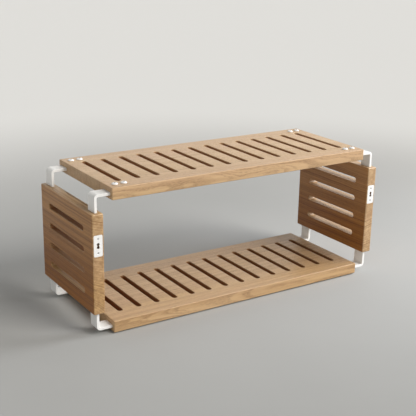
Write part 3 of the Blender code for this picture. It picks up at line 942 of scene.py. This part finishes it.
def keyhole_plate(side, material):
    """A plate that faces the front, with its keyhole and two countersunk screw holes."""
    node = f"{side}_keyhole_plate"
    low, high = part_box(node)
    width, depth, height = high - low
    edge = eased_edge(PLATE_EDGE)
    body = [(0.0, -depth)] + [(-inset, -inset_depth) for inset, inset_depth in reversed(edge)]
    rings = stack(lambda grow: rounded_rectangle(width, height, PLATE_CORNER, grow), body)
    obj = add_object(f"{node}_steel", closed_mesh(node, rings))
    hole_profile = [(grow, z - depth / 2) for grow, z in through_profile(depth / 2, PLATE_EDGE / 2)]
    cutters = [add_object("keyhole", closed_mesh("keyhole", stack(keyhole_outline, hole_profile)))]
    middle_z = (low.z + high.z) / 2
    for label in SCREW_LABELS:
        screw_low, screw_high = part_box(f"{node}_screw_{label}")
        sink = turned("sink", [
            (SCREW_RADIUS + GAP, -2 * depth),
            (SCREW_RADIUS + GAP, -SCREW_HEAD_DEPTH - GAP),
            (SCREW_HEAD_RADIUS + 2 * GAP, 0.0),
            (SCREW_HEAD_RADIUS + 3 * GAP, OVERCUT),
        ])
        sink.data.transform(Matrix.Translation((0, (screw_low.z + screw_high.z) / 2 - middle_z, 0)))
        cutters.append(sink)
    carve(obj, cutters)
    smooth(obj)
    centre_x = (low.x + high.x) / 2
    turn = Matrix.Rotation(math.radians(90), 4, "X")
    obj.matrix_world = Matrix.Translation((centre_x, low.y, middle_z)) @ turn
    finish_piece(obj, material, node)


def glide(node, material):
    """A small pad with a rounded lower edge and a shallow dimple underneath."""
    low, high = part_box(node)
    radius = (high.x - low.x) / 2
    height = high.z - low.z
    rounding = height / 3
    profile = [(radius * across, rounding * up) for across, up in GLIDE_DIMPLE]
    profile += [(radius - inset, depth) for inset, depth in eased_edge(rounding)]
    profile += [(radius, height)]
    obj = turned(f"{node}_nylon", profile)
    smooth(obj, WIDE_SMOOTH_ANGLE)
    centre = (low + high) / 2
    obj.matrix_world = Matrix.Translation((centre.x, centre.y, low.z))
    finish_piece(obj, material, node)


# ---------------------------------------------------------------- the bench


# What the oak of each board is like, with the painted shade of its slots and of its broad faces. On the
# side boards the grain runs from front to back.
QUARTER_TURN = math.radians(-90)
BOARD_WOOD = {
    "seat": dict(
        turn=(0.0, 0.004, 0.020), pith=(0.0, 0.232, 0.012), ring_width=0.0030,
        figure=0.44, honey=0.20, slot_shade=(0.90, 0.90), tone_and_shade=(0.0, 0.0),
    ),
    "shelf": dict(
        turn=(0.0, -0.004, -0.024), pith=(0.6, 0.226, -0.004), ring_width=0.0036,
        figure=0.70, honey=0.60, slot_shade=(0.90, 0.90), tone_and_shade=(0.0, 0.0),
    ),
    "left": dict(
        turn=(0.010, 0.0, QUARTER_TURN + 0.014), pith=(0.3, 0.240, 0.090), ring_width=0.0052,
        figure=1.15, honey=0.75, slot_shade=(0.80, 0.10), tone_and_shade=(1.0, 1.0),
    ),
    "right": dict(
        turn=(-0.010, 0.0, QUARTER_TURN - 0.012), pith=(-0.4, -0.250, 0.080), ring_width=0.0052,
        figure=1.0, honey=0.0, slot_shade=(0.0, 0.0), tone_and_shade=(1.0, 0.5),
    ),
}


def build_bench():
    """Every piece of the bench, in its material."""
    coat = powder_coat("white_powder_coat", COAT_COLOUR, COAT_WORN, COAT_ROUGHNESS)
    plate_coat = powder_coat("plate_powder_coat", PLATE_COLOUR, PLATE_WORN, PLATE_ROUGHNESS)
    bolt_enamel = painted_fastener("bolt_enamel", SOCKET_MOUTH, BOLT_DRIVE_TOP)
    screw_enamel = painted_fastener("screw_enamel", SCREW_HEAD_RADIUS, SCREW_DRIVE_TOP)
    pad = nylon("dark_nylon")
    level_board("seat", 1)
    level_board("shelf", -1)
    for side in ENDS:
        side_board(side)
    for side, x_sign in ENDS.items():
        keyhole_plate(side, plate_coat)
        for label in SCREW_LABELS:
            plate_screw(f"{side}_keyhole_plate_screw_{label}", screw_enamel)
        for face in FACES:
            strap(f"seat_strap_{side}_{face}", x_sign, 1, coat)
            strap(f"shelf_strap_{side}_{face}", x_sign, -1, coat)
            glide(f"glide_{side}_{face}", pad)
            for label in BOLT_LABELS:
                bolt(f"seat_bolt_{side}_{face}_{label}", 1, bolt_enamel)
                bolt(f"shelf_bolt_{side}_{face}_{label}", -1, bolt_enamel)


# ---------------------------------------------------------------- floor, light and camera


# Lights: azimuth 0 is in front of the bench and grows towards its right end
BENCH_MIDDLE = 0.21
KEY_AZIMUTH = 31.0
KEY_ELEVATION = 36.5
KEY_DISTANCE = 4.0
KEY_ANGLE = 30.0
KEY_STRENGTH = 2.4
KEY_COLOUR = (1.0, 0.975, 0.94)
SIDE_AZIMUTH = 75.0
SIDE_ELEVATION = 24.0
SIDE_DISTANCE = 2.4
SIDE_SIZE = 1.2
SIDE_SPREAD = 80.0
SIDE_POWER = 13.0
SIDE_COLOUR = (0.96, 0.99, 1.04)

# World: how strong each glow is, its side in X and Y, and the heights or turns between which it fades
WORLD_COLOUR = (1.0, 0.99, 0.965, 1.0)
WORLD_GLOW = 0.12
OVERHEAD_GLOW = 0.15
OVERHEAD_HEIGHTS = dict(low=0.20, high=0.90)
HORIZON_GLOW = 0.60
HORIZON_HEIGHTS = dict(low=0.25, high=0.05)
WALL_GLOW = 1.32
WALL_SIDE = (0.80, 0.60)
WALL_TURN = dict(low=-0.10, high=0.60)
WALL_TOP = dict(low=0.60, high=0.30)
WALL_FOOT = dict(low=0.0, high=0.16)
ROOM_GLOW = 0.55
ROOM_SIDE = (-0.80, -0.60)
ROOM_TURN = dict(low=0.1, high=0.8)
ROOM_HEIGHTS = dict(low=0.05, high=0.35)

# Camera: angles in degrees, and its lens and sensor in millimetres
CAMERA_PLACE = (-1.413, -2.140, 1.069)
CAMERA_YAW = 32.91
CAMERA_PITCH = -17.76
CAMERA_ROLL = 1.06
CAMERA_LENS = 75.2
SENSOR_WIDTH = 36.0
CAMERA_SIGHT = 100.0


def floor():
    """A floor that reaches far past the bench on every side."""
    work = bmesh.new()
    bmesh.ops.create_grid(work, x_segments=FLOOR_SQUARES, y_segments=FLOOR_SQUARES, size=FLOOR_HALF_SIZE)
    obj = add_object("floor", mesh_from(work, "floor"))
    obj.data.materials.append(floor_finish("pale_floor"))


def aim_light(name, kind, azimuth, elevation, distance, energy, colour):
    """A light aimed at the middle of the bench."""
    turn, rise = math.radians(azimuth), math.radians(elevation)
    away = Vector((math.sin(turn) * math.cos(rise), -math.cos(turn) * math.cos(rise), math.sin(rise)))
    data = bpy.data.lights.new(name, kind)
    data.energy = energy
    data.color = colour
    obj = add_object(name, data)
    obj.location = Vector((0.0, 0.0, BENCH_MIDDLE)) + away * distance
    obj.rotation_euler = away.to_track_quat("Z", "Y").to_euler()
    return data


def studio_light():
    """A wide soft sun from the front, and a soft box beyond the right end."""
    key = aim_light("key", "SUN", KEY_AZIMUTH, KEY_ELEVATION, KEY_DISTANCE, KEY_STRENGTH, KEY_COLOUR)
    key.angle = math.radians(KEY_ANGLE)
    side = aim_light("side", "AREA", SIDE_AZIMUTH, SIDE_ELEVATION, SIDE_DISTANCE, SIDE_POWER, SIDE_COLOUR)
    side.shape = "SQUARE"
    side.size = SIDE_SIZE
    side.spread = math.radians(SIDE_SPREAD)


def studio_world():
    """Faint light from all round, stronger near the horizon and a little stronger overhead.

    Two sides glow as well: a bright wall, low down behind the bench and beyond its right end, and a dimmer
    room, higher up on the opposite side.
    """
    world = bpy.data.worlds.new("studio")
    bpy.context.scene.world = world
    shade = Shade(world, "Background")
    direction = shade.add("ShaderNodeTexCoord").outputs["Generated"]
    height = shade.parts(direction)[2]

    def faces(side):
        """How nearly a direction points to that side."""
        return shade.vector("DOT_PRODUCT", direction, (*side, 0.0))

    overhead = shade.span(height, **OVERHEAD_HEIGHTS)
    horizon = shade.span(height, **HORIZON_HEIGHTS)
    wall = shade.product(shade.span(height, **WALL_TOP), shade.span(height, **WALL_FOOT))
    wall = shade.product(wall, shade.span(faces(WALL_SIDE), **WALL_TURN))
    room = shade.product(shade.span(height, **ROOM_HEIGHTS), shade.span(faces(ROOM_SIDE), **ROOM_TURN))
    glow = shade.total(
        WORLD_GLOW,
        shade.product(wall, WALL_GLOW),
        shade.product(horizon, HORIZON_GLOW),
        shade.product(overhead, OVERHEAD_GLOW),
        shade.product(room, ROOM_GLOW),
    )
    shade.surface["Color"].default_value = WORLD_COLOUR
    shade.feed(shade.surface["Strength"], glow)


def camera():
    """The camera in front of the bench's left end, tilted a little to one side."""
    yaw, pitch, roll = (math.radians(angle) for angle in (CAMERA_YAW, CAMERA_PITCH, CAMERA_ROLL))
    forward = Vector((math.sin(yaw) * math.cos(pitch), math.cos(yaw) * math.cos(pitch), math.sin(pitch)))
    level_right = Vector((math.cos(yaw), -math.sin(yaw), 0.0))
    level_up = level_right.cross(forward)
    right = level_right * math.cos(roll) + level_up * math.sin(roll)
    up = level_up * math.cos(roll) - level_right * math.sin(roll)
    data = bpy.data.cameras.new("camera")
    data.sensor_width = SENSOR_WIDTH
    data.lens = CAMERA_LENS
    data.clip_end = CAMERA_SIGHT
    obj = add_object("camera", data)
    turn = Matrix((right, up, -forward)).transposed().to_4x4()
    obj.matrix_world = Matrix.Translation(CAMERA_PLACE) @ turn
    bpy.context.scene.camera = obj


bpy.context.scene.view_settings.view_transform = "Standard"
build_bench()
floor()
studio_world()
studio_light()
camera()
